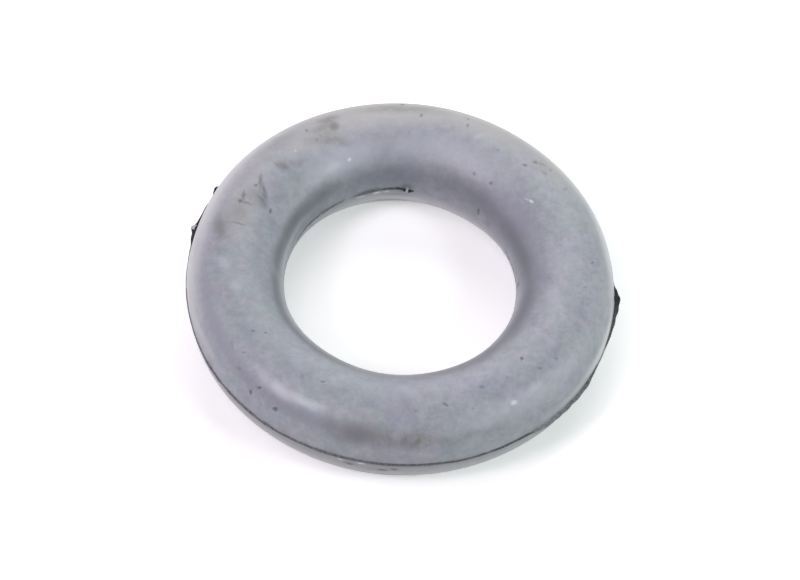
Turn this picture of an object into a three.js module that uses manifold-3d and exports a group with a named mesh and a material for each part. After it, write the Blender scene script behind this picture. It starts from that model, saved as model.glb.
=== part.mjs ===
// A ring exhaust hanger: one moulded rubber ring, stretched over a hook under the car's floor and a
// hook on the exhaust pipe. It lies flat here: its axis is +Z, its centre is the origin, and the two
// mould halves met in the plane z = 0. Lengths are millimetres and angles are degrees, counted round
// the axis from +X towards +Y.

import * as THREE from "three";
import { mergeVertices } from "three/addons/utils/BufferGeometryUtils.js";
import Module from "manifold-3d";

// The ring: a round section carried round a round hole.
const BORE_DIAMETER = 34;
const SECTION_DIAMETER = 14.2;

// The lip of flash that stands along the parting line, round the outside and inside the hole.
const OUTER_LIP_RISE = 0.3;
const OUTER_LIP_WIDTH = 0.7;
const INNER_LIP_RISE = 0.25;
const INNER_LIP_WIDTH = 0.6;
const LIP_TAPER = 0.5; // the width of a lip's crest as a share of the width at its foot

// Flash that was torn off and left a tab. The foot is how far along the ring the tab reaches, the peak
// is where along the foot it stands highest (0 at its first end, 1 at its last), and the rise is the
// height of that peak above the bare rubber.
const TAB_THICKNESS = 0.8;
const TAB_BED = 1.2; // how deep a tab's foot runs into the rubber
const OUTER_TABS = [
  { angle: 153.5, foot: 2.6, peak: 0.35, rise: 1.1 },
  { angle: 169.5, foot: 4.2, peak: 0.3, rise: 0.85 },
  { angle: -2.5, foot: 10.5, peak: 0.75, rise: 1.0 },
];
const INNER_TABS = [{ angle: 91, foot: 1.8, peak: 0.5, rise: 0.6 }];

// How finely the round shapes are cut into flats.
const STEPS_ROUND_RING = 96;
const STEPS_PER_HALF_SECTION = 16;
const BED_STEPS = 4; // along the buried edge of a tab

const COLOUR = "#9ca3ad"; // black rubber gone blue grey under a dry bloom
const ROUGHNESS = 0.55;

const sectionRadius = SECTION_DIAMETER / 2;
const boreRadius = BORE_DIAMETER / 2;
const ringRadius = boreRadius + sectionRadius;
const outerRadius = ringRadius + sectionRadius;

const { degToRad } = THREE.MathUtils;

// The point of the round section at an angle round it, from the outer parting line over the top.
function sectionPoint(angle) {
  return new THREE.Vector2(
    ringRadius + sectionRadius * Math.cos(angle),
    sectionRadius * Math.sin(angle),
  );
}

// Half of the section, from one lip's foot to the other's. The sign is 1 over the top, -1 below.
function halfSection(sign) {
  const outerFoot = Math.asin(OUTER_LIP_WIDTH / SECTION_DIAMETER);
  const innerFoot = Math.PI - Math.asin(INNER_LIP_WIDTH / SECTION_DIAMETER);
  const points = [];
  for (let step = 0; step <= STEPS_PER_HALF_SECTION; step++) {
    const share = step / STEPS_PER_HALF_SECTION;
    points.push(sectionPoint(sign * THREE.MathUtils.lerp(outerFoot, innerFoot, share)));
  }
  return points;
}

// The two corners of a lip's crest, the upper one first.
function lipCrest(radius, width) {
  const half = (width * LIP_TAPER) / 2;
  return [new THREE.Vector2(radius, half), new THREE.Vector2(radius, -half)];
}

// The closed outline of the ring's section, once round.
function ringOutline() {
  const outline = [
    ...halfSection(1),
    ...lipCrest(boreRadius - INNER_LIP_RISE, INNER_LIP_WIDTH),
    ...halfSection(-1).reverse(),
    ...lipCrest(outerRadius + OUTER_LIP_RISE, OUTER_LIP_WIDTH).reverse(),
  ];
  return [...outline, outline[0].clone()];
}

// The bare ring with its lips. A lathe turns about Y, so the result is laid over to turn about Z.
function ringGeometry() {
  const geometry = new THREE.LatheGeometry(ringOutline(), STEPS_ROUND_RING);
  return geometry.rotateX(Math.PI / 2);
}

// A torn tab seen along the ring's axis: its foot follows the ring and its free edge runs up to the
// peak and down again. The side is 1 outside the ring and -1 inside the hole.
function tabShape(tab, surfaceRadius, side) {
  const halfFoot = tab.foot / surfaceRadius / 2;
  const first = degToRad(tab.angle) - halfFoot;
  const last = degToRad(tab.angle) + halfFoot;
  const peakAngle = THREE.MathUtils.lerp(first, last, tab.peak);
  const at = (radius, angle) =>
    new THREE.Vector2(radius * Math.cos(angle), radius * Math.sin(angle));
  const bed = surfaceRadius - side * TAB_BED;
  const points = [at(bed, first), at(surfaceRadius, first)];
  points.push(at(surfaceRadius + side * tab.rise, peakAngle), at(surfaceRadius, last));
  for (let step = 0; step < BED_STEPS; step++) {
    points.push(at(bed, THREE.MathUtils.lerp(last, first, step / BED_STEPS)));
  }
  return new THREE.Shape(points);
}

// A torn tab as a thin plate centred on the parting plane.
function tabGeometry(tab, surfaceRadius, side) {
  const geometry = new THREE.ExtrudeGeometry(tabShape(tab, surfaceRadius, side), {
    depth: TAB_THICKNESS,
    bevelEnabled: false,
  });
  return geometry.translate(0, 0, -TAB_THICKNESS / 2);
}

const wasm = await Module();
wasm.setup();

// A closed geometry as a solid that can be joined to others.
function solidFrom(geometry) {
  geometry.deleteAttribute("normal");
  geometry.deleteAttribute("uv");
  const merged = mergeVertices(geometry, 1e-4);
  return new wasm.Manifold(
    new wasm.Mesh({
      numProp: 3,
      vertProperties: merged.attributes.position.array,
      triVerts: new Uint32Array(merged.index.array),
    }),
  );
}

// A solid back as a geometry with normals.
function geometryFrom(solid) {
  const mesh = solid.getMesh();
  const geometry = new THREE.BufferGeometry();
  geometry.setAttribute("position", new THREE.BufferAttribute(mesh.vertProperties, 3));
  geometry.setIndex(new THREE.BufferAttribute(mesh.triVerts, 1));
  geometry.computeVertexNormals();
  return geometry;
}

function rubberRing() {
  const tabs = [
    ...OUTER_TABS.map((tab) => tabGeometry(tab, outerRadius, 1)),
    ...INNER_TABS.map((tab) => tabGeometry(tab, boreRadius, -1)),
  ];
  const solid = tabs.reduce(
    (joined, tab) => joined.add(solidFrom(tab)),
    solidFrom(ringGeometry()),
  );
  const material = new THREE.MeshStandardMaterial({
    color: COLOUR,
    roughness: ROUGHNESS,
    metalness: 0,
  });
  const mesh = new THREE.Mesh(geometryFrom(solid), material);
  mesh.name = "rubber_ring";
  return mesh;
}

const hanger = new THREE.Group();
hanger.add(rubberRing());

export default hanger;
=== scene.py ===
# %% [markdown]
# # A rubber ring that carries an exhaust pipe
#
# The real object is one ring of solid moulded rubber. A hook under the car's floor and a hook on the
# pipe both reach through it, and the soft ring keeps the pipe's shake out of the body. This one has
# been in use: the black rubber is covered by a dry blue grey bloom, and it carries specks and smears.
#
# The CAD ring comes first, as the frame that every later piece has to fit.

# %% Load the frame
import math

import bpy
import numpy as np
from mathutils import Matrix, Vector


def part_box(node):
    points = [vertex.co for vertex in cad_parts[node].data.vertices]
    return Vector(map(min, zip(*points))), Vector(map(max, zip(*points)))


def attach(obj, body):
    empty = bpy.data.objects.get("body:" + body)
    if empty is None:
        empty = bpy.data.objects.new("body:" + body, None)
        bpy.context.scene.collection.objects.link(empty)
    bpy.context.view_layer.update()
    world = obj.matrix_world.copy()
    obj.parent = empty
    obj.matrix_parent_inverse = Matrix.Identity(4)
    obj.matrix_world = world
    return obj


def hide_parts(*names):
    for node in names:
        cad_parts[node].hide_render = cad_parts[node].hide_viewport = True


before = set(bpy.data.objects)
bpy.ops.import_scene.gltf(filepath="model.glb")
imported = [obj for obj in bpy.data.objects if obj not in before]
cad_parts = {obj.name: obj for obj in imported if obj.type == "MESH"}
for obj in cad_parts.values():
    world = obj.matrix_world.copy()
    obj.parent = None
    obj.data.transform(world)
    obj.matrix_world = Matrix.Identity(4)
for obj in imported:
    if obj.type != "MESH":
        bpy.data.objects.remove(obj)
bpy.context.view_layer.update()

MM = 0.001  # the scene is in metres, and the sizes below are in millimetres

# %% [markdown]
# ## The sizes of the ring
#
# A ring with a round section needs two sizes: how thick the section is, and how far its middle lies
# from the axis. Both are read from the CAD ring, so the dressed ring can't drift away from it. The
# CAD ring's box also takes in a low lip along its parting line, which is taken off again here.

# %% Read the sizes from the frame
CAD_LIP = 0.3 * MM
low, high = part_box("rubber_ring")
section_radius = (high.z - low.z) / 2
ring_radius = high.y - CAD_LIP - section_radius
section_mm = 2 * math.pi * section_radius / MM  # once round the section
ring_mm = 2 * math.pi * ring_radius / MM  # once round the ring, along the section's middle
print(f"section {2 * section_radius / MM:.1f} mm, middle circle {2 * ring_radius / MM:.1f} mm across")

# %% [markdown]
# ## The camera
#
# The photograph looks down at the lying ring at about 55 degrees, from far away, so the ring's back
# looks hardly smaller than its front. A long lens does the same. The picture is also a little
# crooked: the ring's right side sits lower than its left, so the camera is rolled by five degrees.
# The camera's axes are written straight into its matrix, because that keeps the roll exact.

# %% Place the camera
ELEVATION = math.radians(54.95)
ROLL = math.radians(5.18)
DISTANCE = 0.9124
LENS = 282.9
AIM_RIGHT = 0.064 * MM  # the ring sits a few pixels above the middle of the picture
AIM_UP = -0.576 * MM
FARTHEST_SEEN = 20  # metres, well beyond the corners of the floor

back = Vector((0, -math.cos(ELEVATION), math.sin(ELEVATION)))
level_right = Vector((1, 0, 0))
level_up = back.cross(level_right)
camera_right = math.cos(ROLL) * level_right + math.sin(ROLL) * level_up
camera_up = math.cos(ROLL) * level_up - math.sin(ROLL) * level_right
aim = AIM_RIGHT * camera_right + AIM_UP * camera_up

camera_data = bpy.data.cameras.new("camera")
camera_data.lens = LENS
camera_data.clip_end = FARTHEST_SEEN
camera = bpy.data.objects.new("camera", camera_data)
bpy.context.scene.collection.objects.link(camera)
turn = Matrix((camera_right, camera_up, back)).transposed().to_4x4()
camera.matrix_world = Matrix.Translation(aim + DISTANCE * back) @ turn
bpy.context.scene.camera = camera
print(f"camera {DISTANCE:.2f} m away, {math.degrees(ELEVATION):.0f} degrees up")

# %% [markdown]
# ## A grid that knows where detail is needed
#
# The ring is one surface of two angles: `around` runs round the ring and `across` runs round the
# section, with 0 at the outer parting line, 90 on top and 180 at the parting line inside the hole.
# The flash along both parting lines is only a third of a millimetre thick, so even steps would either
# miss it or waste points elsewhere. The steps across are crowded there, over a wider band inside the
# hole, where the torn edge wanders. A density is added up round the section, and the points are set
# at equal shares of the sum.

# %% Lay out the two angles
STEPS_AROUND = 648
STEPS_ACROSS = 150
SEAM_CROWDING = 8.0  # how many times denser the points lie on a parting line
SEAM_BANDS = [(0.9, 4.6), (177, 6.4)]  # where the lines are, and degrees to each side that are crowded
FLAT_TOP = 4  # the power that keeps a bump level over most of its spread
FINE_STEPS = 7200  # for adding up the density


def turn_between(angle, place):
    """Degrees from the place to the angle by the shorter way: their difference less whole turns, from
    -180 up to 180."""
    return (angle - place + 180) % 360 - 180


fine = np.linspace(-90, 270, FINE_STEPS + 1)
density = np.ones(fine.size)
for seam, band in SEAM_BANDS:
    density += SEAM_CROWDING * np.exp(-(((fine - seam) / band) ** FLAT_TOP))
shares = np.concatenate([[0], np.cumsum((density[1:] + density[:-1]) / 2)])
even_shares = np.linspace(0, shares[-1], STEPS_ACROSS, endpoint=False)
across_steps = np.interp(even_shares, shares, fine)
around_steps = np.linspace(-180, 180, STEPS_AROUND, endpoint=False)
around, across = np.meshgrid(around_steps, across_steps, indexing="ij")
print(f"{around.size} points, finest step {np.diff(across_steps).min() * section_mm / 360:.3f} mm")

# %% [markdown]
# ## Uneven rubber
#
# Moulded rubber is never quite true: it shrinks unevenly, it hangs a little out of round after years
# under load, and torn edges are ragged. Ordinary random numbers would leave a jump where the ring
# closes. A sum of waves with whole numbers of cycles round the ring and round the section closes by
# itself, and a seeded generator gives the same ring each time. The lack of roundness is three soft
# bulges: each thins or thickens the section and moves its middle in or out. A fourth fills out the
# lower half along the front, where the mould's two halves didn't quite match.

# %% Waves that close on themselves
def waves(around, across, cycles_around, cycles_across, count, seed):
    """A closed random field of about unit size: the sum of count cosines, each of a whole number of
    cycles up to the given ones both ways round, at a random phase."""
    rng = np.random.default_rng(seed)
    total = np.zeros(np.broadcast(around, across).shape)
    for _ in range(count):
        k = rng.integers(-cycles_around, cycles_around + 1)
        m = rng.integers(-cycles_across, cycles_across + 1)
        total += np.cos(np.radians(k * around + m * across) + rng.uniform(0, 2 * np.pi))
    return total * math.sqrt(2 / count)


SHRINKAGE = 0.03  # mm, slow hollows and swells
OUT_OF_ROUND = [  # around, spread, mm on the section's radius, mm on the middle circle's
    (180, 32, -0.08, -0.22),
    (166, 14, -0.03, -0.12),
    (85, 45, 0.12, -0.01),
]
FULL_FRONT = 0.20  # mm by which the lower half stands out along the front
FULL_AROUND = -94
FULL_AROUND_SPREAD = 62
FULL_ACROSS = -36
FULL_ACROSS_SPREAD = 28

swell = SHRINKAGE * waves(around, across, cycles_around=7, cycles_across=3, count=24, seed=11)
drift = np.zeros(around.shape)
for place, spread, on_section, on_circle in OUT_OF_ROUND:
    bulge = np.exp(-((turn_between(around, place) / spread) ** 2))
    swell += on_section * bulge
    drift += on_circle * bulge
away_around = turn_between(around, FULL_AROUND) / FULL_AROUND_SPREAD
away_across = turn_between(across, FULL_ACROSS) / FULL_ACROSS_SPREAD
swell += FULL_FRONT * np.exp(-(away_around**FLAT_TOP) - away_across**2)
print(f"section off by up to {np.abs(swell).max():.2f} mm, circle by {np.abs(drift).max():.2f} mm")

# %% [markdown]
# ## Flash along the parting lines
#
# Rubber creeps between the two mould halves and leaves a thin fin. Most of it is torn off, and what
# stays is a low dark line with a few tabs. Each fin is drawn as a short list of places round the ring
# and heights there, as you would sketch the torn edge, and small waves make the edge ragged. The
# fin's cross-section is flat-topped with steep sides: one over one plus a high power of the distance
# from the parting line. That line isn't quite true either, so where it runs is a second short list.

# %% Draw the torn edge
OUTER_FLASH = [  # degrees round the ring, and how far the fin stands out in mm
    (-180, 0.14), (-160, 0.15), (-146, 0.22), (-128, 0.3), (-112, 0.26), (-104, 0.28), (-98, 0.18),
    (-92, 0.2), (-84, 0.16), (-66, 0.16), (-58.5, 0.18), (-52, 0.18), (-49, 0.24), (-46.5, 0.48),
    (-44, 0.6), (-41, 0.54), (-37, 0.66), (-33, 0.56), (-28, 0.54), (-25, 0.4), (-21, 0.2),
    (-15, 0.16), (-12, 0.24), (-8.7, 0.36), (-3.9, 0.52), (-0.2, 0.76), (2.6, 1), (4.6, 0.56),
    (5.9, 0.16), (8, 0.02), (14, 0.02), (22, 0.1), (60, 0.13), (100, 0.09), (138, 0.12),
    (148, 0.02), (151.6, 0.03), (152.4, 0.74), (153.2, 0.76), (154.4, 0.54), (156, 0.16),
    (158, 0.26), (162, 0.38), (165.2, 0.42), (166.3, 0.66), (166.9, 1.04), (167.7, 0.94),
    (168.8, 0.74), (170.2, 0.52), (171.6, 0.32), (173.4, 0.2), (176, 0.15),
]
INNER_FLASH = [  # the same inside the hole
    (-180, 0.04), (-150, 0.1), (-90, 0.13), (-30, 0.1), (-4, 0.05), (25, 0.05), (42, 0.04),
    (58, 0.04), (84, 0.04), (87, 0.02), (88.6, 0.2), (89.4, 0.48), (92.4, 0.46), (93.6, 0.2),
    (100, 0.15), (105, 0.12), (110, 0.12), (114, 0.08), (118, 0.02), (122, 0.03), (130, 0.12),
    (140, 0.16), (150, 0.12), (160, 0.03),
]
OUTER_SEAM = [  # degrees round the ring, and the angle across that the edge outside follows
    (-180, 0), (-142, 0.4), (-137, 1.4), (-125, 1), (-116, 1.6), (-107, 2.4), (-95, 2.6),
    (-75, 2.5), (-71, 1.5), (-58, 1.7), (-50, 1.6), (-44, 0.4), (-36, 0), (180, 0),
]
INNER_SEAM = [  # the same for the edge inside the hole
    (-180, 180), (80, 180), (88.2, 176), (90.7, 175.4), (94.2, 173.3), (99.1, 173.8), (106.6, 175),
    (111.7, 176.2), (116, 178.4), (140, 179.2),
]
FLASH_HALF_THICKNESS = 0.16  # mm
FLASH_STEEPNESS = 8  # the power of the distance in the fin's cross-section
RAGGED = 0.08  # how much the torn edge rises and falls, as a share of its height
RAGGED_CYCLES = 110  # the finest of its waves, once round the ring
RAGGED_LOWEST = 0.5  # the least that the waves leave of the height
RAGGED_HIGHEST = 1.5  # and the most


def flash_height(outline, seed):
    """The fin's height at each step round the ring: straight lines between the listed places, times
    one plus ragged waves, kept between the lowest and the highest share."""
    places, heights = np.array(outline).T
    plain = np.interp(around_steps, places, heights, period=360)
    ripples = waves(around_steps, 0 * around_steps, RAGGED_CYCLES, 0, count=60, seed=seed)
    return plain * np.clip(1 + RAGGED * ripples, RAGGED_LOWEST, RAGGED_HIGHEST)


def fin(height, line):
    """The fin as a rise of the surface: its height round the ring over one plus a high power of the
    distance in mm from the line that it follows, in half thicknesses."""
    centre = np.interp(around_steps, *np.array(line).T, period=360)
    away = np.abs(turn_between(across, centre[:, None])) * section_mm / 360
    return height[:, None] / (1 + (away / FLASH_HALF_THICKNESS) ** FLASH_STEEPNESS)


outer_fin = fin(flash_height(OUTER_FLASH, seed=3), OUTER_SEAM)
inner_fin = fin(flash_height(INNER_FLASH, seed=4), INNER_SEAM)
print(f"outer flash up to {outer_fin.max():.2f} mm, inner up to {inner_fin.max():.2f} mm")

# %% [markdown]
# ## The ring's surface
#
# Everything is now a rise or fall of one radius. The point at a pair of angles lies on a circle
# round the section's middle, that middle lies on a circle round the axis, and the rise is added to
# the small radius. One formula makes all points at once, with no loop over them.

# %% Work out the points
def ring_points(rise, drift):
    """Points of a ring: middle circle plus section circle, the section's radius raised by rise and
    the middle circle's by drift."""
    u, v = np.radians(around), np.radians(across)
    radius = section_radius + rise * MM
    out = ring_radius + drift * MM + radius * np.cos(v)
    return np.stack([out * np.cos(u), out * np.sin(u), radius * np.sin(v)], axis=-1)


points = ring_points(swell + outer_fin + inner_fin, drift)
print("ring, mm:", np.round((points.max((0, 1)) - points.min((0, 1))) / MM, 2))

# %% [markdown]
# ## From a grid to a mesh
#
# Each grid cell becomes a four-sided face, and the last row and column join up with the first, so the
# mesh is closed and has no pole. The UV map holds the same two angles as shares of a full turn. Its
# edges lie at the left of the ring and underneath. Face corners hold the UVs, so the faces on an edge
# can end at 1 there and don't run backwards to 0.

# %% Build the mesh
def closed_grid_faces(rows, columns):
    """Vertex numbers of each cell's four corners, wrapped round both ways, facing outwards."""
    i, j = np.meshgrid(np.arange(rows), np.arange(columns), indexing="ij")
    i2, j2 = (i + 1) % rows, (j + 1) % columns
    corners = [i * columns + j, i2 * columns + j, i2 * columns + j2, i * columns + j2]
    return np.stack(corners, axis=-1).reshape(-1, 4)


def closed_grid_uvs():
    """The UV pair of every face corner, in the order of the faces."""
    u = np.append((around_steps + 180) / 360, 1.0)
    v = np.append((across_steps + 90) / 360, 1.0)
    first_u, first_v = np.meshgrid(u[:-1], v[:-1], indexing="ij")
    next_u, next_v = np.meshgrid(u[1:], v[1:], indexing="ij")
    us = np.stack([first_u, next_u, next_u, first_u], axis=-1)
    vs = np.stack([first_v, first_v, next_v, next_v], axis=-1)
    return np.stack([us, vs], axis=-1).reshape(-1, 2)


faces = closed_grid_faces(STEPS_AROUND, STEPS_ACROSS)
mesh = bpy.data.meshes.new("bloomed_rubber_ring")
mesh.vertices.add(around.size)
mesh.vertices.foreach_set("co", points.ravel())
mesh.loops.add(faces.size)
mesh.loops.foreach_set("vertex_index", faces.ravel())
mesh.polygons.add(len(faces))
mesh.polygons.foreach_set("loop_start", np.arange(0, faces.size, 4))
mesh.polygons.foreach_set("use_smooth", np.ones(len(faces), bool))
mesh.update(calc_edges=True)
uv_layer = mesh.uv_layers.new(name="turns")
uv_layer.data.foreach_set("uv", closed_grid_uvs().ravel())
mesh.validate()
ring = bpy.data.objects.new("bloomed_rubber_ring", mesh)
bpy.context.scene.collection.objects.link(ring)
print(f"{2 * len(faces)} triangles")

# %% [markdown]
# ## Stains and painted light that lie on the mesh
#
# Road dirt and thick bloom make large soft stains, and painted light and shade are laid out the same
# way; the mesh is fine enough to hold them as numbers at its points. Each stain is an ellipse on the
# surface rolled out flat. It has a place round the ring and across the section in degrees, a length
# and a width in millimetres, a turn in degrees, and a strength. The first ones are painted light and
# dust: a warm painted reflection on the back of the ring, a pale painted reflection of the bright card
# along its rims and underneath, painted shade in dark violet bands, and old floor dust underneath.

# %% Place the painted reflections, the painted shade and the dust
# painted reflection: the back of the ring made lighter and warmer, where the bright card is mirrored
# low
PAINTED_WARM_REFLECTION = [  # around, across, long, wide, turned, strength
    (100, 62, 24, 6.5, 4, 0.8), (72, 54, 17, 6, -4, 0.8), (46, 47, 12, 5.5, -8, 0.6),
    (122, 72, 12, 6, 8, 0.6), (150, 64, 12, 5, 5, 0.35), (165, 80, 9, 4.5, 0, 0.45),
]
# painted reflection: pale colour along the rims and under the back of the hole, where the bright card
# is mirrored
PAINTED_REFLECTION = [
    (150, 32, 27, 4.2, 0, 0.75), (122, 32, 12, 2.4, 0, 0.7), (180, 20, 14, 3, 4, 0.65),
    (180, 10, 16, 2, 0, 0.8), (-163, 17, 12, 1.6, 0, 0.5), (66, 38, 12, 1.3, 4, 0.6),
    (42, 34, 16, 2.8, 5, 0.75), (18, 24, 14, 3.2, 6, 0.8), (-12, 8, 13, 1.9, 0, 0.95),
    (-30, 7, 9, 1.3, 0, 0.6), (92, 202, 46, 4, 0, 0.8), (105, 188, 9, 0.9, 0, 0.6),
    (168, 164, 14, 1, 0, 0.35),
]
# painted shade: dark violet bands on the left flank, on the walls of the hole and just under the front
# seam
PAINTED_SHADE = [
    (-92, -6.5, 42, 1.7, 0, 0.5), (-178, 54, 10, 2.2, -6, 0.3), (-154, 45.5, 18, 2, -3, 0.75),
    (-136, 40, 8, 1.8, -4, 0.6), (-118, 38.5, 12, 2, 0, 0.7), (-155, 112, 36, 9, 0, 0.2),
    (36, 138, 18, 4.8, 6, 0.6), (29, 139, 9, 3.6, 6, 0.95), (10, 135, 24, 4.4, 4, 0.5),
    (-18, 135, 24, 4.2, 0, 0.5), (-52, 137, 28, 3.6, 0, 0.5), (-90, 137, 30, 3.2, 0, 0.55),
    (-122, 132, 14, 2.4, -3, 0.3), (-88, 96, 16, 5, 0, 0.2),
]
OLD_FLOOR_DUST = [
    (-92, -24, 44, 4.6, 0, 0.8),
]
print("films and dust:", len(PAINTED_WARM_REFLECTION + PAINTED_REFLECTION + PAINTED_SHADE + OLD_FLOOR_DUST))

# %% [markdown]
# Dirt comes next: brownish smears at the upper left, an olive smear at the front, and grey smudges
# where something dark was rubbed in. A few faint smears lie underneath, out of the camera's sight.

# %% Place the dirt
DIRT_SMEARS = [
    (117.5, 79.5, 1.7, 1.4, 73, 1), (118, 66, 2.6, 2, 7, 0.85), (121, 97.5, 5.6, 1.3, -26, 0.6),
    (124, 84, 5, 2.6, -20, 0.5), (-89, 38.5, 6, 2.6, 0, 0.7), (-83, 37, 5, 2.4, -2, 0.9),
    (-96, 46, 7, 2.4, 1, 0.3), (-73.5, 33.5, 3.2, 1.6, -6, 0.45), (-66.5, 35, 4, 1.3, -4, 0.4),
    (-59.5, 31.5, 3.4, 1.2, -2, 0.4), (-78, 50, 3, 1.4, 0, 0.25), (173.5, 67, 3.6, 1.1, 22, 0.75),
    (173.5, 70, 6, 2.8, 22, 0.4), (171.5, 85.5, 2.1, 0.5, 87, 0.4), (168, 84, 5, 3, 10, 0.25),
    (142.5, 95.5, 1.5, 1.2, -75, 0.5), (141.5, 116.5, 2.2, 1.6, -40, 0.25),
    (158.5, 95.5, 3, 2.2, 42, 0.4), (161, 84, 3.4, 2.4, 30, 0.35), (45, 172, 1.6, 1.2, 0, 0.45),
    (44.5, 66, 2.6, 1.2, -40, 0.35), (134, 66, 4, 2, 10, 0.25), (32, -95, 6, 2.4, 20, 0.4),
    (-141, -82, 5, 2, -30, 0.4), (104, -112, 8, 2.8, 10, 0.4), (-58, -101, 3.6, 1.8, 50, 0.35),
    (-8, -76, 3, 1.6, 70, 0.3), (95, 61, 9, 2.6, 0, 0.6),
]
GREY_SMUDGES = [
    (-98.5, 38, 4.6, 2.8, 10, 0.8), (-104.5, 38.5, 3.6, 2.2, -30, 0.5), (167, 82, 3, 2.2, 10, 0.35),
    (142, 94.5, 2, 1.4, -60, 0.75), (117.5, 81, 1.6, 1.1, 60, 0.5), (121, 76, 2, 1.3, 0, 0.5),
    (160, 104.5, 1.5, 1.1, 60, 0.75), (139, 99, 1.6, 1.2, 0, 0.35), (136.5, 104, 1.4, 1, 0, 0.35),
    (158.5, 92.5, 3.4, 2.4, 42, 0.3), (173.5, 64, 3.6, 1.3, 22, 0.5),
]
print("smears and smudges:", len(DIRT_SMEARS + GREY_SMUDGES))

# %% [markdown]
# The bloom itself is thick in pale patches, and painted highlights lie among them, as soft streaks and
# spots where the lamps gleam. Painted shade darkens a band all round inside the hole, with a painted
# contact shadow where its lower edge meets the floor, and more painted shade lies along the flash and
# on the lower right flank.

# %% Place the thick bloom, the painted highlights and the painted shade
# painted highlights: the soft streaks and spots where the lamps gleam, among real pale patches of
# thick bloom
PAINTED_HIGHLIGHTS_AND_THICK_BLOOM = [
    (124.5, 128, 5, 1.7, 4, 0.9), (117, 127.5, 2, 1.3, -9, 0.7), (133.5, 133.5, 3, 1.3, 0, 0.5),
    (76, 116, 20, 4, 4, 0.45), (120, 124, 14, 4.5, 3, 0.6), (-43, 52, 2.7, 1.3, 0, 0.5),
    (-34, 48, 3, 1.2, -3, 0.3), (-51.5, 51.5, 1.65, 1.2, -39, 0.4), (-172.5, 74.5, 2, 1.3, 36, 0.5),
    (-162.5, 84.5, 1.9, 1.55, 22, 0.4), (-116.5, 54, 5, 1, 0, 0.6), (-123, 52, 3.1, 1.4, -7, 0.75),
    (-129.5, 54, 3.4, 1.15, -9, 0.35), (-111.5, 56, 2.8, 0.85, 13, 0.5),
    (59, 122.5, 4.3, 0.9, 17, 0.35), (73, 112.5, 3.3, 0.75, 17, 0.3),
    (67.5, 84, 1.6, 0.7, 61, 0.35), (5, 105, 5, 2, 7, 0.2), (-12.5, 101.5, 5.7, 2, 9, 0.2),
    (-50, 43, 22, 3.2, 0, 0.3),
]
# painted shade: a darker band round the walls of the hole, and a painted contact shadow at its lower
# edge
PAINTED_BORE_SHADE = [
    (-60, 137, 30, 3.2, 0, 0.8), (-100, 136, 30, 3, 0, 0.7), (-20, 140, 22, 3.4, 0, 0.8),
    (18, 151, 20, 3.8, 6, 0.8), (60, 153, 24, 3.6, 0, 0.5), (98, 154, 22, 3.6, 0, 0.45),
    (139, 152.5, 14, 2.6, 0, 0.75), (149, 170, 12, 1.6, 0, 0.45), (158, 151, 14, 2.2, 0, 0.95),
    (176, 149, 12, 2, -4, 0.95), (-163, 142, 9, 2, -8, 0.9), (-154, 136.5, 8, 1.9, -8, 0.85),
    (-145, 133, 8, 1.7, -5, 0.85), (-134, 131, 9, 1.6, -3, 0.85), (-123, 130, 10, 1.6, 0, 0.8),
    (-110, 131, 12, 1.8, 0, 0.6), (97, 203, 8, 0.9, -2, 0.8), (96, 186, 6, 0.8, 0, 0.45),
]
PAINTED_SEAM_SHADE = [  # painted shade beside the flash and on the lower right flank, and a painted contact shadow in the hole
    (-34, -17, 9, 1.5, 0, 0.8), (-36, -8, 9, 0.8, 0, 0.6), (-84, 1, 22, 0.7, 0, 0.5),
    (97, 173.5, 5.5, 0.6, 1, 0.5), (111, 176, 5.5, 0.9, 5, 0.85), (91, 171, 2.4, 1.1, 0, 0.6),
    (134, 178, 8, 0.8, 0, 0.35), (98, 208, 5, 0.5, 0, 0.5), (-98.5, -8, 1.8, 0.7, 0, 0.35),
    (-93, -12, 2.6, 1, 0, 0.3), (-87, -8, 1.8, 0.7, 0, 0.3),
]
print("bloom:", len(PAINTED_HIGHLIGHTS_AND_THICK_BLOOM + PAINTED_BORE_SHADE + PAINTED_SEAM_SHADE))

# %% [markdown]
# One function turns any of these lists into a number at each point. Where stains of one kind overlap,
# the strongest counts, so a long streak can be made of several ellipses without dark joints.

# %% Lay the stains
SOFTNESS = 0.8  # the share of an ellipse's radius over which its edge fades


def stain(name, listed):
    """Keep the strongest of the listed ellipses at each point: a smooth step from one plus the
    softness down to one minus the softness, in radii from the ellipse's centre."""
    strongest = np.zeros(around.shape)
    for around_at, across_at, long_mm, wide_mm, turned, strength in listed:
        x = turn_between(around, around_at) * ring_mm / 360
        y = turn_between(across, across_at) * section_mm / 360
        c, s = math.cos(math.radians(turned)), math.sin(math.radians(turned))
        away = np.hypot((c * x + s * y) * 2 / long_mm, (c * y - s * x) * 2 / wide_mm)
        t = np.clip((1 + SOFTNESS - away) / (2 * SOFTNESS), 0, 1)
        strongest = np.maximum(strongest, strength * t * t * (3 - 2 * t))
    layer = mesh.attributes.new(name, "FLOAT", "POINT")
    layer.data.foreach_set("value", strongest.ravel().astype(np.float32))
    print(f"{name}: on {100 * (strongest > 0.1).mean():.1f}% of the points")
    return strongest


# the reflections and the highlights laid here are painted light, and the three shades are painted
# shade
stain("painted_reflection", PAINTED_REFLECTION)
stain("painted_warm_reflection", PAINTED_WARM_REFLECTION)
stain("painted_shade", PAINTED_SHADE)
stain("floor_dust", OLD_FLOOR_DUST)
stain("painted_highlight_and_bloom", PAINTED_HIGHLIGHTS_AND_THICK_BLOOM)
stain("painted_bore_shade", PAINTED_BORE_SHADE)
stain("painted_seam_shade", PAINTED_SEAM_SHADE)
stain("grey_smudge", GREY_SMUDGES)
stain("dirt", DIRT_SMEARS)

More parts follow.
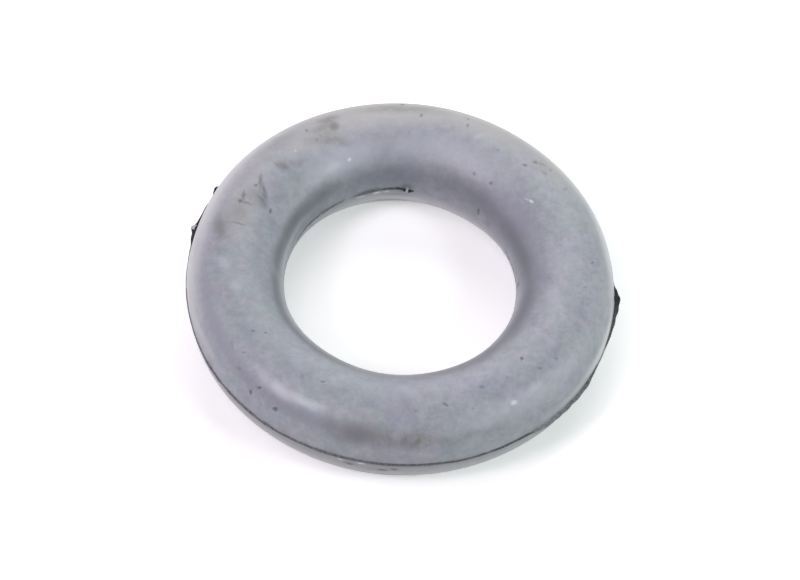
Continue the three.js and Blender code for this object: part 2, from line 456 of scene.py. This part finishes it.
# %% [markdown]
# ## Where the rubber is torn
#
# Bloom grows on old surfaces, so a fin torn off later shows the black rubber inside, while one that
# tore long ago has greyed again. The faces of the fin are told from its height, so colour and shape
# can't come apart, and get a material of their own later. The tallest tab keeps a pale tip, where a
# skin of the old surface was left, and the nub inside the hole gets a painted highlight on its crest;
# neither is torn. How grey the tears are is drawn as lists once more, for the outside and for the
# hole, and kept at each point as a number that the material reads by its name.

# %% Mark the torn flash
TORN_FROM = 0.05  # mm of fin above which a face is torn rubber
PALE_TIP_FROM = 0.5  # share of the pale tip and the painted highlight above which a face isn't torn
# the tab's pale tip of old skin, then a painted highlight on the crest of the nub inside the hole
PALE_TIP_AND_HIGHLIGHT = [(166.9, 0, 1.2, 0.32, 0, 1), (90.7, 175.2, 0.62, 0.9, 0, 1)]
OUTER_AGE = [  # degrees round the ring, and how far the torn rubber has greyed
    (-180, 0.6), (-150, 0.7), (-110, 0.7), (-96, 0.6), (-75, 0.5), (-60, 0.4), (-50, 0.4),
    (-47, 1.1), (-40, 1), (-32, 0.75), (-24, 0.6), (-14, 0.5), (-4, 0.3), (1, 0.08), (8, 0),
    (14, 1), (146, 1), (150, 0), (164, 0), (172, 0.1), (178, 0.6),
]
INNER_AGE = [
    (-180, 0.9), (72, 0.8), (86, 0), (93, 0.15), (100, 0.45), (112, 0.7), (130, 0.8), (150, 1),
]

height = np.maximum(outer_fin, inner_fin).ravel()[faces].mean(axis=1)
pale_tip_share = stain("pale_tip_and_highlight", PALE_TIP_AND_HIGHLIGHT).ravel()[faces].mean(axis=1)
torn_faces = (height > TORN_FROM) & (pale_tip_share < PALE_TIP_FROM)
outer_age = np.interp(around, *np.array(OUTER_AGE).T, period=360)
inner_age = np.interp(around, *np.array(INNER_AGE).T, period=360)
age = np.where(np.cos(np.radians(across)) > 0, outer_age, inner_age)
layer = mesh.attributes.new("flash_age", "FLOAT", "POINT")
layer.data.foreach_set("value", age.ravel().astype(np.float32))
print(f"{torn_faces.sum()} torn faces")

# %% [markdown]
# ## Colours and nodes
#
# Colours are picked as sRGB hex values, as a screen shows them, and Blender's sockets want linear
# light, so one function turns them. A second function adds a node, sets its properties and fills its
# sockets, with a plain value or with another node's output. A material then reads as a short recipe.

# %% Two helpers for materials
def linear(hex_colour):
    """An sRGB hex colour as linear RGBA."""
    channels = [int(hex_colour[i : i + 2], 16) / 255 for i in (1, 3, 5)]
    return [c / 12.92 if c <= 0.04045 else ((c + 0.055) / 1.055) ** 2.4 for c in channels] + [1]


def add(tree, kind, settings=None, sockets=None, out=0):
    """The named or numbered output of a new node of that kind. settings are its properties. sockets
    go by name or number, and each takes a value or an output to link."""
    node = tree.nodes.new(kind)
    for name, value in (settings or {}).items():
        setattr(node, name, value)
    for name, value in (sockets or {}).items():
        if isinstance(value, bpy.types.NodeSocket):
            tree.links.new(value, node.inputs[name])
        else:
            node.inputs[name].default_value = value
    return node.outputs[out] if node.outputs else None


BLEND = {"data_type": "RGBA"}  # a mix node for colours: 0 is the share, 6 the first, 7 the second
SOFT = {"interpolation_type": "SMOOTHSTEP"}  # a range with soft ends: 1 and 2 go to 3 and 4
print("sRGB #808080 in linear light:", round(linear("#808080")[0], 3))

# %% [markdown]
# ## Bloomed rubber
#
# The rubber is black natural rubber, pressed in a steel mould. Wax and sulphur wander out of it and
# dry on the surface as bloom, a thin film that turns the black to blue grey and leaves a satin gloss.
# The film is uneven: broad cold and violet patches, then blotches of a few millimetres, then a fine
# grain. Each is a noise at its own real size.

# %% Start the bloom
BLOOM_COLD = "#9AA2A9"
BLOOM_VIOLET = "#A0A2AD"
BLOOM_PALE = "#ABADB7"
BLOOM_THIN = "#7C7F88"
PATCH_MM = 16.0
BLOTCH_MM = 3.2
MOTTLE_MM = 1.5
GRAIN_MM = 0.45
TINT_SHARE = 0.2  # how far the thickness of the film tints it
PALE_SHARE = 0.6  # how far the thickest blotches go to the pale colour
THIN_SHARE = 0.5  # how far the thinnest spots go to the dark one

rubber = bpy.data.materials.new("bloomed_natural_rubber")
rubber.use_nodes = True
tree = rubber.node_tree
tree.nodes.clear()

place = add(tree, "ShaderNodeTexCoord", out="Object")
place_mm = add(tree, "ShaderNodeVectorMath", {"operation": "SCALE"}, {0: place, "Scale": 1 / MM})

lumps = {"Vector": place_mm, "Scale": 1 / PATCH_MM, "Detail": 2.0}
lumps = add(tree, "ShaderNodeTexNoise", {}, lumps)
patches = add(tree, "ShaderNodeMapRange", SOFT, {0: lumps, 1: 0.38, 2: 0.62})
colour = add(
    tree, "ShaderNodeMix", BLEND, {0: patches, 6: linear(BLOOM_COLD), 7: linear(BLOOM_VIOLET)}, 2
)
lumps = {"Vector": place_mm, "Scale": 1 / BLOTCH_MM, "Detail": 3.0, "Roughness": 0.6}
tints = add(tree, "ShaderNodeTexNoise", {}, lumps, "Color")
tinted = {"data_type": "RGBA", "blend_type": "SOFT_LIGHT"}
colour = add(tree, "ShaderNodeMix", tinted, {0: TINT_SHARE, 6: colour, 7: tints}, 2)
lumps = add(tree, "ShaderNodeTexNoise", {}, lumps)
blotches = {0: lumps, 1: 0.42, 2: 0.66, 3: 0.0, 4: PALE_SHARE}
blotches = add(tree, "ShaderNodeMapRange", SOFT, blotches)
colour = add(tree, "ShaderNodeMix", BLEND, {0: blotches, 6: colour, 7: linear(BLOOM_PALE)}, 2)
grain = {"Vector": place_mm, "Scale": 1 / GRAIN_MM, "Detail": 3.0, "Roughness": 0.65}
grain = add(tree, "ShaderNodeTexNoise", {}, grain)
mottle = {"Vector": place_mm, "Scale": 1 / MOTTLE_MM, "Detail": 6.0, "Roughness": 0.75}
mottle = add(tree, "ShaderNodeTexNoise", {}, mottle)
thin_spots = {0: mottle, 1: 0.38, 2: 0.62, 3: 0.0, 4: THIN_SHARE}
thin_spots = add(tree, "ShaderNodeMapRange", {}, thin_spots)
colour = add(tree, "ShaderNodeMix", BLEND, {0: thin_spots, 6: colour, 7: linear(BLOOM_THIN)}, 2)
print("bloom:", len(tree.nodes), "nodes so far")

# %% [markdown]
# The stains, with the painted reflections, highlights and shade, are read from the mesh by name, and
# each has a colour of its own. Dirt and floor dust are broken up by a fine noise, since dust never
# lies evenly.

# %% Colour the stains
# the two reflections and the highlights here are painted light, the violet, bore and seam colours are
# painted shade, and the pale tip colour is also the nub's painted highlight
STAIN_COLOURS = {
    "painted_reflection": "#D2D2D4",
    "painted_warm_reflection": "#B4B1B0",
    "painted_shade": "#838493",
    "floor_dust": "#A8A8A4",
    "painted_highlight_and_bloom": "#BFC2CD",
    "painted_bore_shade": "#6E7379",
    "painted_seam_shade": "#4E5253",
    "grey_smudge": "#6E6E75",
    "dirt": "#74746F",
    "pale_tip_and_highlight": "#B4B6B8",
}
DUST_MM = 1.1
DUSTY = ("dirt", "floor_dust")
THINNEST_DUST = 0.48
THICKEST_DUST = 1.1

dust = {"Vector": place_mm, "Scale": 1 / DUST_MM, "Detail": 4.0, "Roughness": 0.7}
dust = add(tree, "ShaderNodeTexNoise", {}, dust)
dust = {0: dust, 1: 0.34, 2: 0.66, 3: THINNEST_DUST, 4: THICKEST_DUST}
dust = add(tree, "ShaderNodeMapRange", SOFT, dust)
for name, hex_colour in STAIN_COLOURS.items():
    share = add(tree, "ShaderNodeAttribute", {"attribute_name": name}, out="Fac")
    if name in DUSTY:
        share = add(tree, "ShaderNodeMath", {"operation": "MULTIPLY"}, {0: share, 1: dust})
    colour = add(tree, "ShaderNodeMix", BLEND, {0: share, 6: colour, 7: linear(hex_colour)}, 2)
print("stains:", len(STAIN_COLOURS))

# %% [markdown]
# ## Small marks at their places
#
# Specks and scratches are finer than the mesh, so the material draws them. They are ellipses like the
# stains. The UV map gives shares of a turn, and a multiplication by the two real lengths makes them
# millimetres on the flat surface. A little noise bends their edges.

# %% Ellipses on the surface
WOBBLE_MM = 0.5  # how far an edge is pushed about
WOBBLE_SIZE_MM = 0.6  # how long its waves are

turns = add(tree, "ShaderNodeUVMap", {"uv_map": "turns"})
flat_mm = {0: turns, 1: (ring_mm, section_mm, 0)}
flat_mm = add(tree, "ShaderNodeVectorMath", {"operation": "MULTIPLY"}, flat_mm)
wobble = {"Vector": place_mm, "Scale": 1 / WOBBLE_SIZE_MM, "Detail": 3.0}
wobble = add(tree, "ShaderNodeTexNoise", {}, wobble, "Color")
wobble = {0: wobble, 1: [WOBBLE_MM] * 3, 2: [-WOBBLE_MM / 2] * 3}
wobble = add(tree, "ShaderNodeVectorMath", {"operation": "MULTIPLY_ADD"}, wobble)
bent_mm = add(tree, "ShaderNodeVectorMath", {"operation": "ADD"}, {0: flat_mm, 1: wobble})
print(f"rolled out flat: {ring_mm:.1f} by {section_mm:.1f} mm")


def marks(listed, softness, vector):
    """The strongest of the listed ellipses at each place. softness is the share of the radius over
    which an edge fades."""
    strongest = 0.0
    for around_at, across_at, long_mm, wide_mm, turned, strength in listed:
        ellipse = {
            "Vector": vector,
            "Location": ((around_at + 180) / 360 * ring_mm, (across_at + 90) / 360 * section_mm, 0),
            "Rotation": (0, 0, math.radians(turned)),
            "Scale": (long_mm / 2, wide_mm / 2, 1),
        }
        inside = add(tree, "ShaderNodeMapping", {"vector_type": "TEXTURE"}, ellipse)
        away = add(tree, "ShaderNodeVectorMath", {"operation": "LENGTH"}, {0: inside}, "Value")
        edge = {0: away, 1: 1 + softness, 2: 1 - softness, 3: 0.0, 4: strength}
        spot = add(tree, "ShaderNodeMapRange", SOFT, edge)
        strongest = add(tree, "ShaderNodeMath", {"operation": "MAXIMUM"}, {0: strongest, 1: spot})
    return strongest


# %% [markdown]
# The specks are pits where a grain of dirt was pressed in or a bubble broke, so they are dark and
# also dents. The scratches are fine lines. A few bright specks are chips of bloom that stand loose,
# and the one on the front is a painted glint.

# %% Specks, scratches and chips
PIT_DARK = "#55565D"
SCRATCH_GREY = "#62626A"
PITS = [  # around, across, long, wide, turned, strength
    (-40.5, 90, 0.6, 0.5, 38, 1), (-122, 29.5, 0.7, 0.5, 50, 1), (-129, 39.5, 0.65, 0.4, 53, 0.95),
    (-130.5, 28, 0.7, 0.35, -77, 0.95), (126, 69.5, 0.8, 0.4, 68, 0.55),
    (88, 75.5, 0.8, 0.4, -88, 0.65), (94, 49.5, 0.9, 0.5, 88, 1), (73.5, 61.5, 0.7, 0.35, -86, 0.5),
    (72.5, 74.5, 0.7, 0.35, -77, 0.6), (47, 70, 0.8, 0.65, -85, 0.7),
    (48, 84.5, 0.7, 0.45, 58, 0.75), (42, 71.5, 0.95, 0.65, 24, 0.35),
    (42.5, 59.5, 0.8, 0.35, -71, 0.4), (53, 128, 0.7, 0.5, 13, 0.7),
    (61.5, 129, 0.65, 0.45, -46, 0.55), (59, 89, 0.45, 0.45, 58, 0.35),
    (34, 61.5, 0.8, 0.5, -68, 0.35), (162.5, 77.5, 0.7, 0.55, 56, 0.9),
    (161, 116, 0.9, 0.45, -1, 0.85), (154.5, 85, 0.6, 0.45, 36, 0.75),
    (125.5, 90, 0.55, 0.45, 56, 0.35), (3.5, 168.5, 1.4, 1, 44, 1),
    (52, 168.5, 1.15, 0.75, -79, 0.75), (6, 60.5, 0.6, 0.35, -57, 0.5),
    (-4, 68.5, 0.45, 0.35, -37, 0.35), (-38.5, 67.5, 0.65, 0.4, -40, 0.5),
    (-32, 63, 0.6, 0.4, -45, 0.45), (-49, 81.5, 0.4, 0.4, -23, 0.35),
    (-58.5, 84.5, 0.6, 0.45, -21, 0.5), (-72, 76, 0.75, 0.4, -35, 0.7),
    (-64, 64, 0.45, 0.4, 82, 0.3), (-81.5, 71.5, 0.45, 0.4, 84, 0.3),
    (-120, 79.5, 0.95, 0.35, -57, 0.25), (-137.5, 39.5, 0.55, 0.45, 35, 0.45),
    (-99, -7.5, 0.9, 0.6, 0, 1), (-90, -10, 1.1, 0.6, 0, 1), (-87, -7.5, 0.7, 0.6, 0, 0.9),
]
SCRATCHES = [
    (152.5, 87.5, 2.6, 0.5, 30, 0.8), (154.5, 97, 2.4, 0.5, 44, 0.85),
    (157, 101.5, 1.5, 0.5, 45, 0.8), (160, 78.5, 1.6, 0.45, 23, 0.8),
    (162.5, 85.5, 1.5, 0.4, 86, 0.7), (158.5, 100, 1.3, 0.5, 68, 0.8),
    (171.5, 85, 1.9, 0.3, 86, 0.5), (143, 87, 0.95, 0.35, 89, 0.35),
    (142, 98, 0.9, 0.35, -34, 0.45), (-143.5, 80.5, 0.7, 0.3, 56, 0.7),
    (-140.5, 91.5, 0.45, 0.3, 59, 0.8), (-139.5, 56.5, 0.55, 0.2, 49, 0.6),
    (-113, 85.5, 0.75, 0.3, 16, 0.7), (-71.5, 74, 0.55, 0.2, -50, 0.5),
    (-144, 51, 1.85, 0.3, -41, 0.3), (45, 62.5, 1.2, 0.4, 39, 0.35),
]
# the first entry is a painted glint on the front, the rest are loose chips of bloom
CHIPS_AND_GLINT = [
    (-51.5, 51.5, 0.9, 0.65, -21, 0.6), (34.5, 109, 0.8, 0.4, 24, 0.75),
    (36.5, 111.5, 1.05, 0.25, 17, 0.3), (117, 127, 0.6, 0.5, -2, 0.7),
    (134.5, 89, 0.55, 0.45, 48, 0.3), (-112, 85, 0.7, 0.25, 39, 0.2),
    (105.5, 180.5, 1.5, 0.45, 0, 0.8), (101, 179.5, 1.3, 0.4, 0, 0.7),
    (114, 182, 1.8, 0.45, 0, 0.6), (-96, -2.5, 0.9, 0.45, 0, 0.6), (-101.5, -3.5, 0.6, 0.4, 0, 0.5),
]

pits = marks(PITS, softness=0.7, vector=bent_mm)
colour = add(tree, "ShaderNodeMix", BLEND, {0: pits, 6: colour, 7: linear(PIT_DARK)}, 2)
scratches = marks(SCRATCHES, softness=0.9, vector=bent_mm)
colour = add(tree, "ShaderNodeMix", BLEND, {0: scratches, 6: colour, 7: linear(SCRATCH_GREY)}, 2)
print("small marks:", len(PITS + SCRATCHES + CHIPS_AND_GLINT))

# %% [markdown]
# ## The finish of the bloom
#
# Roughness starts from a satin rubber and follows the blotches, because thick bloom scatters more
# light. The grain and the pits go into bump as well, since they are too fine for the mesh. Dust and
# bloom stand up like a very short nap, which looks pale where the surface turns away, and sheen does
# the same.

# %% Finish the bloom
IOR_RUBBER = 1.52
SATIN = 0.38  # roughness where the film is thin
DRY = 0.50  # and where it is thick
GRAIN_RISE = 0.35  # of a pit's depth
PIT_DEPTH_MM = 0.06
BUMP_STRENGTH = 0.7
DUST_SHEEN = 0.25
NAP_ROUGHNESS = 0.5
CHIP_AND_GLINT_PALE = "#E2E5EA"

# the chips' pale colour, which also paints the glint
chips_and_glint = marks(CHIPS_AND_GLINT, softness=0.6, vector=bent_mm)
colour = add(tree, "ShaderNodeMix", BLEND, {0: chips_and_glint, 6: colour, 7: linear(CHIP_AND_GLINT_PALE)}, 2)
rough = add(tree, "ShaderNodeMapRange", SOFT, {0: lumps, 1: 0.3, 2: 0.7, 3: SATIN, 4: DRY})
rises = add(tree, "ShaderNodeMath", {"operation": "MULTIPLY"}, {0: grain, 1: GRAIN_RISE})
dents = add(tree, "ShaderNodeMath", {"operation": "SUBTRACT"}, {0: rises, 1: pits})
bump = {"Height": dents, "Distance": PIT_DEPTH_MM * MM, "Strength": BUMP_STRENGTH}
bump = add(tree, "ShaderNodeBump", {}, bump)
finish = {"Base Color": colour, "Roughness": rough, "IOR": IOR_RUBBER, "Normal": bump}
finish |= {"Sheen Weight": DUST_SHEEN, "Sheen Roughness": NAP_ROUGHNESS}
shader = add(tree, "ShaderNodeBsdfPrincipled", {}, finish)
add(tree, "ShaderNodeOutputMaterial", {}, {"Surface": shader})
print("bloomed rubber:", len(tree.nodes), "nodes")

# %% [markdown]
# ## Torn rubber
#
# A torn face is black, dull and a little crumbly, with no bloom and no dust on it. It is the same
# rubber, so the IOR stays. Old tears are greyed by the number on the mesh, and crumbs of a third of a
# millimetre show in the bump. The faces picked out above get this material, and the rest, with the
# pale tip and the painted highlight on the nub, get the bloomed one.

# %% Make the torn rubber
TORN_BLACK = "#101113"
TORN_GREYED = "#8A8D8F"
TORN_ROUGHNESS = 0.8
CRUMB_MM = 0.33
CRUMB_RISE_MM = 0.1
CRUMB_STRENGTH = 0.6
LEAST_GREYED = 0.6  # between the crumbs, as a share of the number on the mesh
MOST_GREYED = 1.2
CRUMBLY_GLOSS = 0.25  # the pores of a tear swallow half of the little gloss it has

torn_rubber = bpy.data.materials.new("torn_natural_rubber")
torn_rubber.use_nodes = True
tree = torn_rubber.node_tree
tree.nodes.clear()
place = add(tree, "ShaderNodeTexCoord", out="Object")
crumbs = {"Vector": place, "Scale": 1 / (CRUMB_MM * MM), "Detail": 3.0, "Roughness": 0.6}
crumbs = add(tree, "ShaderNodeTexNoise", {}, crumbs)
age = add(tree, "ShaderNodeAttribute", {"attribute_name": "flash_age"}, out="Fac")
uneven = {0: crumbs, 1: 0.35, 2: 0.65, 3: LEAST_GREYED, 4: MOST_GREYED}
uneven = add(tree, "ShaderNodeMapRange", SOFT, uneven)
age = add(tree, "ShaderNodeMath", {"operation": "MULTIPLY"}, {0: age, 1: uneven})
shades = {0: age, 6: linear(TORN_BLACK), 7: linear(TORN_GREYED)}
colour = add(tree, "ShaderNodeMix", BLEND, shades, 2)
bump = {"Height": crumbs, "Distance": CRUMB_RISE_MM * MM, "Strength": CRUMB_STRENGTH}
bump = add(tree, "ShaderNodeBump", {}, bump)
finish = {"Base Color": colour, "Roughness": TORN_ROUGHNESS, "IOR": IOR_RUBBER, "Normal": bump}
finish["Specular IOR Level"] = CRUMBLY_GLOSS
shader = add(tree, "ShaderNodeBsdfPrincipled", {}, finish)
add(tree, "ShaderNodeOutputMaterial", {}, {"Surface": shader})

mesh.materials.append(rubber)
mesh.materials.append(torn_rubber)
mesh.polygons.foreach_set("material_index", torn_faces.astype(np.int32))
mesh.update()
print("torn rubber:", len(tree.nodes), "nodes")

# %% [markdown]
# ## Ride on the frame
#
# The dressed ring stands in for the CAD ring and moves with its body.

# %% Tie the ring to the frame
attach(ring, "root")
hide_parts("rubber_ring")
print(ring.name, "stands in for rubber_ring")

# %% [markdown]
# ## A white sweep to lie on
#
# The ring lies on white card so bright that it has no edge, and only the ring's soft shadow shows.
# The floor is white and catches that shadow. A little extra glow that only the camera sees lifts it
# to the photograph's overexposed white, and it puts no more light on the ring.

# %% Make the floor
FLOOR_HALF = 3.0  # metres
CARD_WHITE = "#FAFAFA"
GLOW_SEEN = 0.37  # to the camera
GLOW_MIRRORED = 0.3  # to gloss on the rubber, which mirrors the bright card along its rim

floor_z = float(points[..., 2].min())
floor_mesh = bpy.data.meshes.new("floor")
signs = [(-1, -1), (1, -1), (1, 1), (-1, 1)]
corners = [(FLOOR_HALF * x, FLOOR_HALF * y, floor_z) for x, y in signs]
floor_mesh.from_pydata(corners, [], [(0, 1, 2, 3)])
floor = bpy.data.objects.new("floor", floor_mesh)
bpy.context.scene.collection.objects.link(floor)

card = bpy.data.materials.new("white_card")
card.use_nodes = True
card_tree = card.node_tree
card_tree.nodes.clear()
to_camera = add(card_tree, "ShaderNodeLightPath", out="Is Camera Ray")
to_gloss = add(card_tree, "ShaderNodeLightPath", out="Is Glossy Ray")
mirrored = {0: to_gloss, 1: GLOW_MIRRORED}
mirrored = add(card_tree, "ShaderNodeMath", {"operation": "MULTIPLY"}, mirrored)
strength = {0: to_camera, 1: GLOW_SEEN, 2: mirrored}
strength = add(card_tree, "ShaderNodeMath", {"operation": "MULTIPLY_ADD"}, strength)
white = add(card_tree, "ShaderNodeBsdfDiffuse", {}, {"Color": linear(CARD_WHITE)})
glow = add(card_tree, "ShaderNodeEmission", {}, {"Strength": strength})
both = add(card_tree, "ShaderNodeAddShader", {}, {0: white, 1: glow})
add(card_tree, "ShaderNodeOutputMaterial", {}, {"Surface": both})
floor_mesh.materials.append(card)
print(f"floor at {floor_z / MM:.2f} mm")

# %% [markdown]
# ## Light
#
# The light is that of a white tent. The world gives even light from all round. It is plain white to
# the camera and to rays that gloss or glass send on, and a low, even fill to all other rays.

# %% Set the world
WORLD_LEVEL = 0.05
WORLD_SEEN = 1.0

world = bpy.data.worlds.new("white_tent")
bpy.context.scene.world = world
world.use_nodes = True
world_tree = world.node_tree
world_tree.nodes.clear()
clear = add(world_tree, "ShaderNodeLightPath", out="Is Camera Ray")
for ray in ("Is Glossy Ray", "Is Transmission Ray"):
    also = add(world_tree, "ShaderNodeLightPath", out=ray)
    clear = add(world_tree, "ShaderNodeMath", {"operation": "MAXIMUM"}, {0: clear, 1: also})
level = add(world_tree, "ShaderNodeMapRange", {}, {0: clear, 3: WORLD_LEVEL, 4: WORLD_SEEN})
tent = add(world_tree, "ShaderNodeBackground", {}, {"Color": (1, 1, 1, 1), "Strength": level})
add(world_tree, "ShaderNodeOutputWorld", {}, {"Surface": tent})
print("world level:", WORLD_LEVEL)

# %% [markdown]
# A broad box at the back lights the top and throws the shadow forward, low boxes at both sides
# lighten the flanks, and two small lamps give the quiet streaks on the front. The tent's left side is
# a touch rosy and its right side greenish, as in the photograph.

# %% Hang the lamps
def towards(azimuth, elevation):
    """The unit vector towards a place in the sky, in degrees from +X towards +Y and up."""
    a, e = math.radians(azimuth), math.radians(elevation)
    return Vector((math.cos(e) * math.cos(a), math.cos(e) * math.sin(a), math.sin(e)))


def soft_box(name, azimuth, elevation, size, share, colour):
    """A square lamp a metre away that gives the floor that share of full white. Flat light of power P
    falls on the floor as P / pi times the sine of the elevation, and white card that gets pi looks
    fully white, so the power is share times pi squared over the sine."""
    data = bpy.data.lights.new(name, "AREA")
    data.size = size
    data.color = colour
    data.energy = share * math.pi**2 / math.sin(math.radians(elevation))
    lamp = bpy.data.objects.new(name, data)
    outwards = towards(azimuth, elevation)
    facing = outwards.to_track_quat("Z", "Y").to_matrix().to_4x4()
    lamp.matrix_world = Matrix.Translation(outwards) @ facing
    bpy.context.scene.collection.objects.link(lamp)


WHITE = (1.0, 1.0, 1.0)
ROSE = (1.0, 0.90, 0.99)
GREENISH = (0.88, 1.0, 0.95)
LAMPS = [  # name, azimuth, elevation, size in metres, share, colour
    ("back_box", 85, 40, 0.9, 0.35, WHITE),
    ("right_box", 0, 18, 0.5, 0.07, GREENISH),
    ("low_left_box", 178, 18, 0.5, 0.06, ROSE),
    ("left_box", -135, 65, 0.5, 0.17, ROSE),
    ("left_lamp", -141, 44, 0.26, 0.21, ROSE),
    ("right_lamp", -29, 42, 0.24, 0.14, GREENISH),
]

for lamp in LAMPS:
    soft_box(*lamp)
print("lamps:", len(LAMPS))

# %% [markdown]
# ## Finish
#
# Colours go to the screen as they are, with no film look.

# %% Finish
bpy.context.scene.view_settings.view_transform = "Standard"
